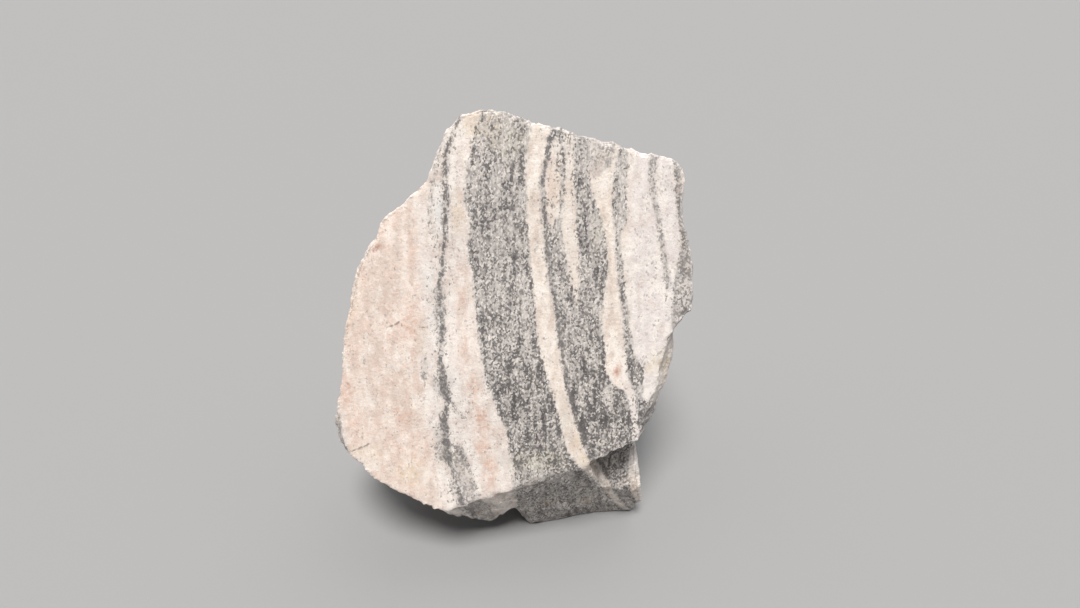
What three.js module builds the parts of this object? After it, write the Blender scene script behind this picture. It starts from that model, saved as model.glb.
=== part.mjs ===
// Hand specimen of banded gneiss: one broken slab, standing on its own foot.
//
// Millimetres, +Z up. X runs across the layers, from left to right. The broad face looks
// towards -Y and leans back. The origin is on the ground, at the middle of the stone's box.
//
// The stone is described as a solid first: a function that is negative inside, zero on the
// surface and positive outside, put together from broken faces. A geodesic net is then shrunk
// onto that surface, evened out, and pulled into its sharp edges.

import * as THREE from 'three';
import { ImprovedNoise } from 'three/addons/math/ImprovedNoise.js';
import { mergeVertices } from 'three/addons/utils/BufferGeometryUtils.js';

// ---------------------------------------------------------------- driving dimensions

const FACE_LEAN = THREE.MathUtils.degToRad(28); // the broad face, back from upright
const HEART = new THREE.Vector3(-8, 88, 100); // a point deep in the stone
const REACH = 200; // farther from the heart than any part of the surface

// Outline of the broad face: across the layers, and up the face from the line where its
// plane meets the ground. It starts at the lowest tip and goes round by the left.
const FACE_OUTLINE = [
  [-50, 46.5], [-60, 51], [-70, 56], [-80, 63.5], [-90, 71], [-96.5, 78], [-99, 86],
  [-98.5, 95], [-97, 107], [-94.5, 122], [-92, 142], [-87.5, 160], [-85, 170], [-80, 178.5],
  [-74, 186], [-72.5, 191.5], [-68, 195.5], [-61, 200], [-51, 210], [-47, 220],
  [-41.5, 232], [-33.5, 238.5], [-24, 240.5], [-16, 239.5], [-5, 235.5], [4, 234],
  [12, 230.5], [24, 228.5], [36, 225.5], [48, 221.5], [58, 220.5], [62, 216],
  [64.5, 211], [64, 203], [65.5, 190], [70.5, 172], [71.8, 152], [65, 144.5],
  [62, 128], [59, 111], [55, 97], [48.5, 84], [52.5, 78], [54.5, 62], [57, 42],
  [60, 20], [62, -60], [-33, -60], [-33, 22],
];

// How fast the sides draw in behind the broad face, in millimetres a millimetre of depth.
const SIDE_TAPER = 0.1;
const TOP_TAPER = 0.07; // added at the top
const LEFT_TAPER = 0.2; // added on the left

// Behind the face the sides stray from its outline, fully so from this depth on.
const SIDE_WANDER = 7;
const WANDER_DEPTH = { starts: 4, full: 45 };

// The sides are smooth at the rim of the face and as hackly as the back from this depth on.
const HACKLY_DEPTH = 12;

// Where the rim of the broad face is broken back, so that the side shows beyond it: the
// middle of the break, half its length, how far the rim is set in, how far the side stands
// out behind it, and how deep that is.
const RIM_BREAKS = [
  { across: 57, up: 112, reach: 32, inset: 4.5, outset: 6, depth: 14 },
  { across: -96, up: 81, reach: 21, inset: 3, outset: 8.5, depth: 13 },
];
const BREAK_CORE = 0.6; // the share of a break's reach that is broken all the way back
const BREAK_FADE = 4; // the side is back on its outline this many depths behind the face

// A small facet that cuts off the rim at the upper left.
const BROW_TOP = [-68, 196];
const BROW_LOW = [-93, 128];
const BROW_SIDE = [-85, 170];
const BROW_DEPTH = 2.6;

// The foot, where the stone was broken off under the broad face.
const LIP_LEFT = [-50, 46.5];
const LIP_RIGHT = [24.4, 72.3];
const FOOT_FRONT = [0, 39.8, 0];

// The block behind the lip's right end, where a chip has come away.
const RECESS_DEPTH = 23;
const ROOF_RIGHT = [48.5, 84];
const BLOCK_LEFT = [33, 41.7, 29.6];
const BLOCK_RIGHT = [52, 42, 29.9];
const BLOCK_FOOT = [45, 46.5, 0];

// The notch under the lip, between the nose on the left and the foot.
const NOTCH_FRONT = [-14, 32.2, 26.4];
const NOTCH_BACK = [-31, 86, -2];
const FOOT_CORNER = [-6, 39.8, 0];
const NOSE_CORNER = [-25, 32, 14.8];

// The breaks that make up the back, each through three points.
const BACK_BREAKS = {
  middle: [[-40, 152, 60], [40, 158, 60], [0, 151, 150]],
  top: [[-30, 140, 190], [50, 142, 180], [0, 153, 140]],
  low: [[-40, 151, 52], [40, 155, 46], [0, 126, 0]],
  lowRight: [[60, 62, 0], [42, 128, 0], [70, 112, 44]],
  left: [[-28, 152, 100], [-95, 98, 100], [-50, 124, 30]],
  right: [[36, 156, 100], [76, 116, 108], [58, 134, 10]],
};

// A ledge down the back, where the break jumps from one layer to another.
const LEDGE_TREAD = [[14, 142, 60], [60, 144, 60], [30, 138, 150]];
const LEDGE_RISER = [[12, 140, 20], [12, 160, 20], [20, 150, 160]];

// ---------------------------------------------------------------- relief of the surfaces

// Each relief has a height, a wavelength across the layers and one along them, and a seed.
const WORN_SWELL = { height: 1.6, across: 48, along: 60, seed: 3.7 };
const WORN_RIPPLE = { height: 0.5, across: 17, along: 26, seed: 11.3 };
const BREAK_BLOCKS = { height: 4.5, across: 34, along: 40, seed: 5.1 };
const BREAK_RIBS = { height: 2.2, across: 13, along: 46, seed: 8.9 };
const BREAK_HACKLES = { height: 1.1, across: 15, along: 15, seed: 2.3 };
const SWAY_ACROSS = { height: SIDE_WANDER, across: 45, along: 45, seed: 21.7 };
const SWAY_UP = { height: SIDE_WANDER, across: 45, along: 45, seed: 33.1 };
const SHELTERED = 0.4; // how much of a break's relief the breaks at the foot have

const perlin = new ImprovedNoise();

function waves(v, { height, across, along, seed }) {
  return height * perlin.noise(v.x / across + seed, v.y / along - seed, v.z / along + seed);
}

// An old, worn joint plane, nearly flat, such as the broad face.
const worn = (v) => waves(v, WORN_SWELL) + waves(v, WORN_RIPPLE);

// A fresh break: hackly, with ribs that follow the layers.
function broken(v) {
  return Math.abs(waves(v, BREAK_BLOCKS)) + Math.abs(waves(v, BREAK_RIBS)) + waves(v, BREAK_HACKLES);
}

const halfBroken = (v) => SHELTERED * broken(v);

// ---------------------------------------------------------------- the solid

// A point by its place on the broad face and its depth behind it.
function onFace([across, up], depth = 0) {
  return [
    across,
    up * Math.sin(FACE_LEAN) + depth * Math.cos(FACE_LEAN),
    up * Math.cos(FACE_LEAN) - depth * Math.sin(FACE_LEAN),
  ];
}

const upFace = (v) => v.y * Math.sin(FACE_LEAN) + v.z * Math.cos(FACE_LEAN);
const depthBehindFace = (v) => v.y * Math.cos(FACE_LEAN) - v.z * Math.sin(FACE_LEAN);

// A break through three points, with the stone on the heart's side.
function breakThrough(points, relief) {
  const flat = new THREE.Plane().setFromCoplanarPoints(...points.map((p) => new THREE.Vector3(...p)));
  if (flat.distanceToPoint(HEART) > 0) flat.negate();
  return (v) => flat.distanceToPoint(v) + relief(v);
}

// Distance from a point of the face's plane to its outline, negative inside.
function distanceToOutline(across, up) {
  let nearest = Infinity;
  let inside = false;
  let [fromX, fromY] = FACE_OUTLINE[FACE_OUTLINE.length - 1];
  for (const [toX, toY] of FACE_OUTLINE) {
    const edgeX = toX - fromX;
    const edgeY = toY - fromY;
    const along = ((across - fromX) * edgeX + (up - fromY) * edgeY) / (edgeX ** 2 + edgeY ** 2);
    const t = THREE.MathUtils.clamp(along, 0, 1);
    nearest = Math.min(nearest, Math.hypot(across - fromX - t * edgeX, up - fromY - t * edgeY));
    const straddles = (toY > up) !== (fromY > up);
    if (straddles && across < fromX + (edgeX * (up - fromY)) / edgeY) inside = !inside;
    fromX = toX;
    fromY = toY;
  }
  return inside ? -nearest : nearest;
}

// How far the side is set in by the breaks of the rim. Where it stands out it is negative.
function rimBreak(across, up, depth) {
  let inset = 0;
  for (const chip of RIM_BREAKS) {
    const away = Math.hypot(across - chip.across, up - chip.up) / chip.reach;
    const strength = 1 - THREE.MathUtils.smoothstep(away, BREAK_CORE, 1);
    const rise = Math.min(depth / chip.depth, 1);
    const fall = THREE.MathUtils.smoothstep(depth, chip.depth, BREAK_FADE * chip.depth);
    inset += strength * (chip.inset * (1 - rise) - chip.outset * rise * (1 - fall));
  }
  return inset;
}

const heartUp = upFace(HEART);

// The sides all round, drawing in with depth.
function sides(v) {
  const up = upFace(v);
  const depth = Math.max(depthBehindFace(v), 0);
  const fromHeart = new THREE.Vector2(v.x - HEART.x, up - heartUp).normalize();
  const taper = SIDE_TAPER + TOP_TAPER * Math.max(fromHeart.y, 0) + LEFT_TAPER * Math.max(-fromHeart.x, 0);
  const stray = THREE.MathUtils.smoothstep(depth, WANDER_DEPTH.starts, WANDER_DEPTH.full);
  const across = v.x + stray * waves(v, SWAY_ACROSS);
  const higher = up + stray * waves(v, SWAY_UP);
  const hackly = THREE.MathUtils.smoothstep(depth, 0, HACKLY_DEPTH);
  const outward = distanceToOutline(across, higher) + rimBreak(v.x, up, depth);
  return outward + taper * depth + hackly * broken(v);
}

const broadFace = (v) => worn(v) - depthBehindFace(v);

const lipWall = breakThrough([onFace(LIP_LEFT), onFace(LIP_RIGHT), FOOT_FRONT], halfBroken);
const blockWall = breakThrough([BLOCK_LEFT, BLOCK_RIGHT, BLOCK_FOOT], halfBroken);

const recessWall = (v) => RECESS_DEPTH - depthBehindFace(v) + worn(v);
const recessRoof = breakThrough(
  [onFace(LIP_RIGHT), onFace(ROOF_RIGHT), onFace(ROOF_RIGHT, RECESS_DEPTH)], worn,
);
const recessSide = breakThrough(
  [onFace(LIP_RIGHT), BLOCK_LEFT, onFace(LIP_RIGHT, RECESS_DEPTH)], worn,
);

const notchFootSide = breakThrough([NOTCH_FRONT, NOTCH_BACK, FOOT_CORNER], worn);
const notchNoseSide = breakThrough([NOTCH_FRONT, NOTCH_BACK, NOSE_CORNER], worn);

const browFacet = breakThrough([onFace(BROW_TOP), onFace(BROW_LOW), onFace(BROW_SIDE, BROW_DEPTH)], worn);

const backBreaks = Object.values(BACK_BREAKS).map((points) => breakThrough(points, broken));
const ledgeTread = breakThrough(LEDGE_TREAD, broken);
const ledgeRiser = breakThrough(LEDGE_RISER, worn);

// The largest of several surfaces keeps what is inside all of them, and the smallest of a
// few joins them into one wall with an inner corner.
function stone(v) {
  return Math.max(
    broadFace(v),
    sides(v),
    Math.min(lipWall(v), blockWall(v)),
    Math.min(recessWall(v), recessRoof(v), recessSide(v)),
    browFacet(v),
    Math.min(notchFootSide(v), notchNoseSide(v)),
    ...backBreaks.map((surface) => surface(v)),
    Math.min(ledgeTread(v), ledgeRiser(v)),
    -v.z,
  );
}

// ---------------------------------------------------------------- points on the surface

const PROBE = 0.05; // half the step over which a slope is taken
const MARCH_STEP = 2; // the step by which the surface is looked for
const HALVINGS = 20; // how often the last step is halved
const SETTLE_STEPS = 4; // how often a point is slid towards the surface
const GENTLEST = 0.25; // the least slope, squared, that a point is slid along

function slope(v) {
  const probe = v.clone();
  const rise = (axis) => {
    probe[axis] = v[axis] + PROBE;
    const ahead = stone(probe);
    probe[axis] = v[axis] - PROBE;
    const behind = stone(probe);
    probe[axis] = v[axis];
    return (ahead - behind) / (2 * PROBE);
  };
  return new THREE.Vector3(rise('x'), rise('y'), rise('z'));
}

// The first place on the surface, going out from the heart.
function castOut(direction) {
  const spot = (distance) => HEART.clone().addScaledVector(direction, distance);
  let outer = MARCH_STEP;
  while (outer < REACH && stone(spot(outer)) < 0) outer += MARCH_STEP;
  let inner = outer - MARCH_STEP;
  for (let halving = 0; halving < HALVINGS; halving += 1) {
    const middle = (inner + outer) / 2;
    if (stone(spot(middle)) < 0) inner = middle;
    else outer = middle;
  }
  return spot(inner);
}

// Slides a point along the slope onto the surface.
function settle(v) {
  for (let step = 0; step < SETTLE_STEPS; step += 1) {
    const uphill = slope(v);
    v.addScaledVector(uphill, -stone(v) / Math.max(uphill.lengthSq(), GENTLEST));
  }
  return v;
}

// ---------------------------------------------------------------- the net round the stone

const NET_DETAIL = 20; // splits of each side of the geodesic net's twenty triangles
const NET_SHAPE = new THREE.Vector3(86, 58, 106); // stretches the net like the stone
const WELD = 1e-5;

function makeNet() {
  const ball = new THREE.IcosahedronGeometry(1, NET_DETAIL);
  ball.deleteAttribute('normal');
  ball.deleteAttribute('uv');
  const merged = mergeVertices(ball, WELD);
  const place = merged.getAttribute('position');
  const points = [];
  for (let i = 0; i < place.count; i += 1) {
    const direction = new THREE.Vector3().fromBufferAttribute(place, i).multiply(NET_SHAPE);
    points.push(castOut(direction.normalize()));
  }
  const corners = [...merged.index.array];
  const triangles = [];
  for (let i = 0; i < corners.length; i += 3) triangles.push(corners.slice(i, i + 3));
  return { points, triangles };
}

function neighboursOf(net) {
  const neighbours = net.points.map(() => new Set());
  for (const [a, b, c] of net.triangles) {
    neighbours[a].add(b).add(c);
    neighbours[b].add(c).add(a);
    neighbours[c].add(a).add(b);
  }
  return neighbours;
}

function middleOf(points) {
  const middle = new THREE.Vector3();
  for (const point of points) middle.add(point);
  return middle.divideScalar(points.length);
}

const middleOfNeighbours = (net, neighbours) => middleOf([...neighbours].map((j) => net.points[j]));

// A point moved a share of the way to another place, along the surface.
function slideTowards(point, place, uphill, share) {
  const pull = place.clone().sub(point);
  pull.addScaledVector(uphill, -pull.dot(uphill));
  return settle(point.clone().addScaledVector(pull, share));
}

// Moves each point towards the middle of its neighbours.
function relax(net, share) {
  const neighbours = neighboursOf(net);
  net.points = net.points.map((point, i) => {
    const uphill = slope(point).normalize();
    return slideTowards(point, middleOfNeighbours(net, neighbours[i]), uphill, share);
  });
}

// Neighbours whose slopes agree this well, as a cosine, lie on one face of the stone.
const ONE_FACE = 0.9;

// The same for the points inside the faces, and leaves those on edges where they are.
function relaxFaces(net, share) {
  const neighbours = neighboursOf(net);
  const slopes = net.points.map((point) => slope(point).normalize());
  net.points = net.points.map((point, i) => {
    const agreement = Math.min(...[...neighbours[i]].map((j) => slopes[i].dot(slopes[j])));
    if (agreement < ONE_FACE) return point;
    return slideTowards(point, middleOfNeighbours(net, neighbours[i]), slopes[i], share);
  });
}

// Adds a direction's square to a matrix: it weighs how far a move goes along that direction.
function addSquare(matrix, direction) {
  const parts = direction.toArray();
  parts.forEach((one, row) => {
    parts.forEach((other, column) => {
      matrix.elements[row + 3 * column] += one * other;
    });
  });
}

// Pulls points into sharp edges: each one goes where the planes of the triangles round it,
// taken on the true surface, come closest to meeting. The hold keeps it near its old place.
function sharpen(net, hold, farthest) {
  const sums = net.points.map(() => ({
    weight: new THREE.Matrix3().multiplyScalar(hold),
    pull: new THREE.Vector3(),
  }));
  for (const triangle of net.triangles) {
    const seat = settle(middleOf(triangle.map((i) => net.points[i])));
    const outward = slope(seat).normalize();
    for (const i of triangle) {
      addSquare(sums[i].weight, outward);
      sums[i].pull.addScaledVector(outward, outward.dot(seat.clone().sub(net.points[i])));
    }
  }
  net.points.forEach((point, i) => {
    const move = sums[i].pull.applyMatrix3(sums[i].weight.invert());
    point.add(move.clampLength(0, farthest));
  });
}

// ---------------------------------------------------------------- the shapes of its triangles

const SLIVER = 0.06; // a triangle's area by its longest side squared, below which it is turned
const NEEDLE = 0.03; // below which its corners are moved
const NEARER_BY = 0.15; // a side is turned where that brings it this much nearer the surface
const ROUNDER_BY = 2; // or makes a sliver this many times rounder
const FEWEST_NEIGHBOURS = 4; // a point with no more than these keeps them all
const LEAST_FACING = 0.15; // how squarely a turned triangle has to face out of the stone

const edgeKey = (a, b) => (a < b ? `${a}_${b}` : `${b}_${a}`);
const twiceArea = (p, q, r) => q.clone().sub(p).cross(r.clone().sub(p));

// About 0.43 for an equal-sided triangle, and 0 for a line.
function shapeOf(p, q, r) {
  const longest = Math.max(p.distanceTo(q), q.distanceTo(r), r.distanceTo(p));
  return twiceArea(p, q, r).length() / 2 / longest ** 2;
}

// The two triangles on each side of the net.
function ownersOf(net) {
  const owners = new Map();
  net.triangles.forEach((triangle, t) => {
    triangle.forEach((a, k) => {
      const key = edgeKey(a, triangle[(k + 1) % 3]);
      if (!owners.has(key)) owners.set(key, []);
      owners.get(key).push(t);
    });
  });
  return owners;
}

// Whether the side from a to b, with c and d across it, is better turned from c to d.
function worthTurning(a, b, c, d) {
  const middle = middleOf([a, b]);
  const offNow = Math.abs(stone(middle));
  const offThen = Math.abs(stone(middleOf([c, d])));
  const now = Math.min(shapeOf(a, b, c), shapeOf(a, b, d));
  const then = Math.min(shapeOf(c, d, a), shapeOf(c, d, b));
  const nearer = offThen + NEARER_BY < offNow && then > SLIVER;
  const rounder = then > ROUNDER_BY * now && now < SLIVER;
  if (!nearer && !rounder) return false;
  const outward = slope(middle).normalize();
  const facesOut = (p, q, r) => twiceArea(p, q, r).normalize().dot(outward) >= LEAST_FACING;
  return facesOut(a, d, c) && facesOut(d, b, c);
}

// Turns the shared side of two triangles where that is better, once for each triangle.
function turnEdges(net) {
  const turned = new Set();
  const neighbours = neighboursOf(net);
  for (const [key, [one, two]] of ownersOf(net)) {
    if (turned.has(one) || turned.has(two)) continue;
    const first = net.triangles[one];
    const start = first.findIndex((i, k) => edgeKey(i, first[(k + 1) % 3]) === key);
    const [a, b, c] = [0, 1, 2].map((k) => first[(start + k) % 3]);
    const d = net.triangles[two].find((i) => i !== a && i !== b);
    const enough = Math.min(neighbours[a].size, neighbours[b].size) > FEWEST_NEIGHBOURS;
    const free = enough && !neighbours[c].has(d);
    if (free && worthTurning(...[a, b, c, d].map((i) => net.points[i]))) {
      net.triangles[one] = [a, d, c];
      net.triangles[two] = [d, b, c];
      neighbours[a].delete(b);
      neighbours[b].delete(a);
      neighbours[c].add(d);
      neighbours[d].add(c);
      turned.add(one).add(two);
    }
  }
}

// Moves the corners of needle-thin triangles towards their neighbours.
function mendNeedles(net, share) {
  const neighbours = neighboursOf(net);
  const corners = new Set();
  for (const triangle of net.triangles) {
    if (shapeOf(...triangle.map((i) => net.points[i])) < NEEDLE) triangle.forEach((i) => corners.add(i));
  }
  for (const i of corners) {
    settle(net.points[i].lerp(middleOfNeighbours(net, neighbours[i]), share));
  }
}

// ---------------------------------------------------------------- wrapping the stone

const RELAXING = { rounds: 12, share: 0.6 };
const SHARPENING = { rounds: 3, hold: 0.06, farthest: 3, share: 0.3 };
const LAST_HOLD = 0.04; // a looser hold for the last pull into the edges
const TURNING_ROUNDS = 4;
const MENDING = { rounds: 3, share: 0.2 };
const GROUND_SNAP = 0.6; // points this low are part of the flat spot that the stone rests on

function repeat(rounds, work) {
  for (let round = 0; round < rounds; round += 1) work();
}

function wrapStone() {
  const net = makeNet();
  repeat(RELAXING.rounds, () => relax(net, RELAXING.share));
  repeat(SHARPENING.rounds, () => {
    sharpen(net, SHARPENING.hold, SHARPENING.farthest);
    turnEdges(net);
    relaxFaces(net, SHARPENING.share);
  });
  sharpen(net, LAST_HOLD, SHARPENING.farthest);
  repeat(TURNING_ROUNDS, () => turnEdges(net));
  repeat(MENDING.rounds, () => mendNeedles(net, MENDING.share));
  for (const point of net.points) {
    if (point.z < GROUND_SNAP) point.z = 0;
  }
  return net;
}

function makeSpecimen() {
  const net = wrapStone();
  const geometry = new THREE.BufferGeometry().setFromPoints(net.points);
  geometry.setIndex(net.triangles.flat());
  geometry.computeVertexNormals();
  geometry.computeBoundingBox();
  const middle = geometry.boundingBox.getCenter(new THREE.Vector3());
  const gneiss = new THREE.MeshStandardMaterial({ color: 0xc9c0b8, roughness: 0.85, metalness: 0 });
  const specimen = new THREE.Mesh(geometry, gneiss);
  specimen.name = 'gneiss_specimen';
  specimen.position.set(-middle.x, -middle.y, 0);
  return specimen;
}

const object = new THREE.Group();
object.add(makeSpecimen());

export default object;
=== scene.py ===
import math

import bmesh
import bpy
import numpy as np
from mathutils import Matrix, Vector, noise


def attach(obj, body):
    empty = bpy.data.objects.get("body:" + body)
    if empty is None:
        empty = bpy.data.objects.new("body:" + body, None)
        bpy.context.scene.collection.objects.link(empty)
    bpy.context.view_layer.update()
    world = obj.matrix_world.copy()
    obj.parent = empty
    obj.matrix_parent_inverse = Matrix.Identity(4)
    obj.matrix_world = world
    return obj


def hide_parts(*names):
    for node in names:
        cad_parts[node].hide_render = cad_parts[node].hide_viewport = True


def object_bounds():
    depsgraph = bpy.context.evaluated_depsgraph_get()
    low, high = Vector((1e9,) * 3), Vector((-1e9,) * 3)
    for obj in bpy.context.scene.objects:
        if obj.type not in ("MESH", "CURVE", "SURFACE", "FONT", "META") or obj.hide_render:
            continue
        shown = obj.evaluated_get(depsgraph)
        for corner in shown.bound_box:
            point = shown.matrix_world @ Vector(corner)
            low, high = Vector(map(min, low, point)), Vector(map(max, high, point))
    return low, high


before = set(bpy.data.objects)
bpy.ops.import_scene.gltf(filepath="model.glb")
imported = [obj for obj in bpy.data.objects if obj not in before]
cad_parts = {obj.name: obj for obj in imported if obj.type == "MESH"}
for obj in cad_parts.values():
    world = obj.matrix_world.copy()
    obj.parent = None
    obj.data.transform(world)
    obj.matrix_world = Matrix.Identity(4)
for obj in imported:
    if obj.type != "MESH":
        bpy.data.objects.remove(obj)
CAD_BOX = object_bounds()
SPECIMEN = "gneiss_specimen"
MM = 0.001

# ---------------------------------------------------------------------------
# The broad face's own directions. Across is its width and up runs up its slope,
# both measured on the face, and depth goes straight in behind it.
FACE_LEAN = math.radians(28)
FACE_MIDDLE_X = 15.505
FACE_FOOT_Y = -89.089

# The layers dip: a layer lies this much further to the right for each
# millimetre behind the broad face.
LAYER_DIP = 0.28


def on_face(points):
    """Across, up and depth of points in millimetres."""
    back = points[:, 1] - FACE_FOOT_Y
    height = points[:, 2]
    across = points[:, 0] - FACE_MIDDLE_X
    up = back * math.sin(FACE_LEAN) + height * math.cos(FACE_LEAN)
    depth = back * math.cos(FACE_LEAN) - height * math.sin(FACE_LEAN)
    return across, up, depth


# ---------------------------------------------------------------------------
# The camera stands in front and above, and looks down at the broad face.
LENS_MM = 23.2
SENSOR_MM = 36
CAMERA_PLACE = (0.0155, -0.2553, 0.350)
CAMERA_PITCH = math.radians(48)


def make_camera():
    data = bpy.data.cameras.new("camera")
    data.lens = LENS_MM
    data.sensor_width = SENSOR_MM
    camera = bpy.data.objects.new("camera", data)
    camera.location = CAMERA_PLACE
    camera.rotation_euler = (CAMERA_PITCH, 0, 0)
    bpy.context.scene.collection.objects.link(camera)
    bpy.context.scene.camera = camera


# ---------------------------------------------------------------------------
# The studio. Each light comes from far off and has its name, bearing, height,
# strength, softness and colour. Bearing 0 is the front and 90 is the right.
LIGHTS = [
    ("key", -8, 79, 4.5, 20, (1, 0.975, 0.955)),
    ("back", 165, 50, 0.8, 50, (0.96, 0.98, 1)),
    ("left", -112, 48, 0.6, 60, (1, 0.98, 0.96)),
    ("right", 108, 48, 0.5, 60, (0.96, 0.98, 1)),
]
SKY_COLOUR = (0.76, 0.8, 0.88, 1)
SKY_STRENGTH = 0.06

# The floor is flat round the stone and rises far off, so no view has an edge. Each
# step of its profile is a reach and a height in metres.
FLOOR_PROFILE = [
    (0.0, 0.0), (0.3, 0.0), (2.6, 0.0), (3.4, 0.06), (4.3, 0.4), (5.1, 1.2), (5.6, 2.4),
]
FLOOR_SIDES = 96
FLOOR_COLOUR = (0.26, 0.26, 0.26, 1)
FLOOR_ROUGHNESS = 0.9


def make_light(name, bearing, height, strength, softness, colour):
    """One light of the studio, with its angles in degrees."""
    data = bpy.data.lights.new(name, "SUN")
    data.energy = strength
    data.angle = math.radians(softness)
    data.color = colour
    light = bpy.data.objects.new(name, data)
    tilt = math.radians(90 - height)
    light.rotation_euler = (tilt, 0, math.radians(bearing))
    bpy.context.scene.collection.objects.link(light)


def make_sky():
    world = bpy.data.worlds.new("studio")
    world.use_nodes = True
    sky = world.node_tree.nodes["Background"]
    sky.inputs["Color"].default_value = SKY_COLOUR
    sky.inputs["Strength"].default_value = SKY_STRENGTH
    bpy.context.scene.world = world


def make_floor():
    """A wide bowl with a flat middle."""
    work = bmesh.new()
    rim = [work.verts.new((reach, 0, height)) for reach, height in FLOOR_PROFILE]
    for low, high in zip(rim, rim[1:]):
        work.edges.new((low, high))
    bmesh.ops.spin(
        work, geom=work.verts[:] + work.edges[:], axis=(0, 0, 1), cent=(0, 0, 0),
        steps=FLOOR_SIDES, angle=math.tau, use_merge=True,
    )
    mesh = bpy.data.meshes.new("floor")
    work.to_mesh(mesh)
    work.free()
    for polygon in mesh.polygons:
        polygon.use_smooth = True
    floor = bpy.data.objects.new("floor", mesh)
    bpy.context.scene.collection.objects.link(floor)
    material = bpy.data.materials.new("pale floor")
    material.use_nodes = True
    shader = material.node_tree.nodes["Principled BSDF"]
    shader.inputs["Base Color"].default_value = FLOOR_COLOUR
    shader.inputs["Roughness"].default_value = FLOOR_ROUGHNESS
    mesh.materials.append(material)


def make_studio():
    for light in LIGHTS:
        make_light(*light)
    make_sky()
    make_floor()
    bpy.context.scene.view_settings.view_transform = "Standard"


# ---------------------------------------------------------------------------
# Where the rock's layers lie. Each streak is a list of (up, left, right) in
# millimetres on the broad face. A streak whose first or last row is open runs on at
# the lean it has there, and one whose sides meet there has pinched out. Where a row's
# left passes its right, the streak is broken.

# Salt-and-pepper layers: feldspar, quartz and hornblende in fine grains.
PEPPER = [
    [
        (50, -14, 30), (60, -14, 24.5), (70, -13, 19), (80, -15, 13), (90, -16, 10.5),
        (100, -20, 9), (110, -23.5, 6), (120, -26.5, 3), (130, -28, 0), (150, -30, -2),
        (170, -32, -4), (180, -33, -5), (190, -31, -5.5), (200, -34, -5.5),
        (210, -33, -6), (220, -30.5, -5.5), (230, -29, -4), (239, -26, -3),
    ],
    [
        (50, 36, 44), (60, 31, 42), (71, 25.5, 41), (80, 22, 41), (86, 20, 46),
        (91, 18.6, 50.5), (95, 17.2, 52.3), (99, 16, 53), (103, 15, 51.8), (107, 13.8, 50),
        (109, 13, 43), (113, 12.2, 36), (120, 11, 31), (130, 10, 30.5), (140, 8, 29.5),
        (148, 7.2, 28), (160, 5.5, 30), (170, 3.5, 31), (180, 2, 30), (190, 1.5, 28.5),
        (200, 1, 24.5), (210, 0.5, 22), (220, 2.5, 22), (234, 5, 23),
    ],
    [
        (104, 46, 46), (110, 44, 49), (120, 40.5, 49), (125, 40.5, 47), (130, 40, 44),
        (140, 38.5, 42), (150, 38, 41), (160, 36, 38.5), (170, 35, 38), (179, 33.5, 36.5),
        (185, 34.2, 36.2), (190, 33, 38), (195, 32, 39), (205, 32, 38), (215, 33, 38),
        (230, 35, 39),
    ],
]

# Near-black films of biotite.
BIOTITE = [
    [
        (50, -39.6, -37.6), (65, -43, -41), (72, -45, -42.8), (76, -47.5, -43.8),
        (92, -48, -44), (97, -47.4, -45.2), (105, -44.9, -42.7), (111, -47, -43.4),
        (117, -47.5, -43.6), (122, -47, -45.4), (130, -47.7, -46.1), (132, -46.7, -46.8),
        (134, -47, -45.3), (140, -46, -44.5), (148, -47, -45.3), (150.5, -46.2, -46.6),
        (153, -47.5, -45.9), (165, -46.7, -45.3), (174, -45.4, -43.9), (177, -44.4, -44.5),
        (180, -44.3, -42.7), (190, -44, -42.2), (200, -42.8, -40.8), (210, -42.8, -41.2),
        (220, -42.2, -40.8), (225, -40.7, -39.3), (234, -36.7, -35.4),
    ],
    [
        (60, 31, 32), (71, 25.5, 26.7), (100, 15.5, 16.7), (130, 10, 11.1),
        (150, 7, 8.3), (170, 3.5, 4.8), (190, 1.5, 2.6), (210, 0.7, 1.7), (220, 2.7, 3.6),
        (234, 5.2, 6),
    ],
]

# Thin scatterings of dark grains in the pale rock.
GREY = [
    [(70, -43, -43), (76, -50.5, -43), (92, -51, -43), (98, -46, -46)],
    [(107, -46, -46), (112, -51, -43.5), (118, -50.5, -44), (122, -46.5, -46.5)],
    [(50, -42, -29), (60, -45, -31), (70, -44, -34), (80, -41, -37), (84, -40, -40)],
    [(189, -49.6, -49.6), (195, -50.2, -48.6), (205, -48.8, -47.4), (220, -45.9, -44.4),
     (238, -40.5, -40.5)],
    [(114, -54.6, -54.6), (120, -56, -53), (126, -56, -53), (130, -54.6, -54.6)],
    [(130, -46.8, -45.5), (134, -48, -44), (160, -49, -44), (166, -46.5, -45.5)],
    [(155, 58.6, 58.6), (165, 56.9, 59.1), (180, 54, 56.2), (190, 52.4, 54.8),
     (200, 49.9, 52.2), (210, 48, 50.5), (220, 47.8, 51.4), (230, 47.8, 51.8)],
    [(137, 68, 68), (142, 61, 74), (165, 61, 76), (180, 64, 74), (190, 62, 66.6),
     (200, 60.5, 63.6), (216, 58.5, 62), (226, 57, 60)],
    [(88, 52, 52), (92, 49, 56), (99, 49, 56), (104, 53, 53)],
    [(211, 24, 24), (216, 21, 31), (226, 16, 33), (236, 8, 34)],
    [(50, -160, -85), (73, -160, -91), (78, -160, -93), (88, -160, -96),
     (95, -160, -97.5), (110, -160, -102), (150, -160, -108), (200, -160, -112)],
]

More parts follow.
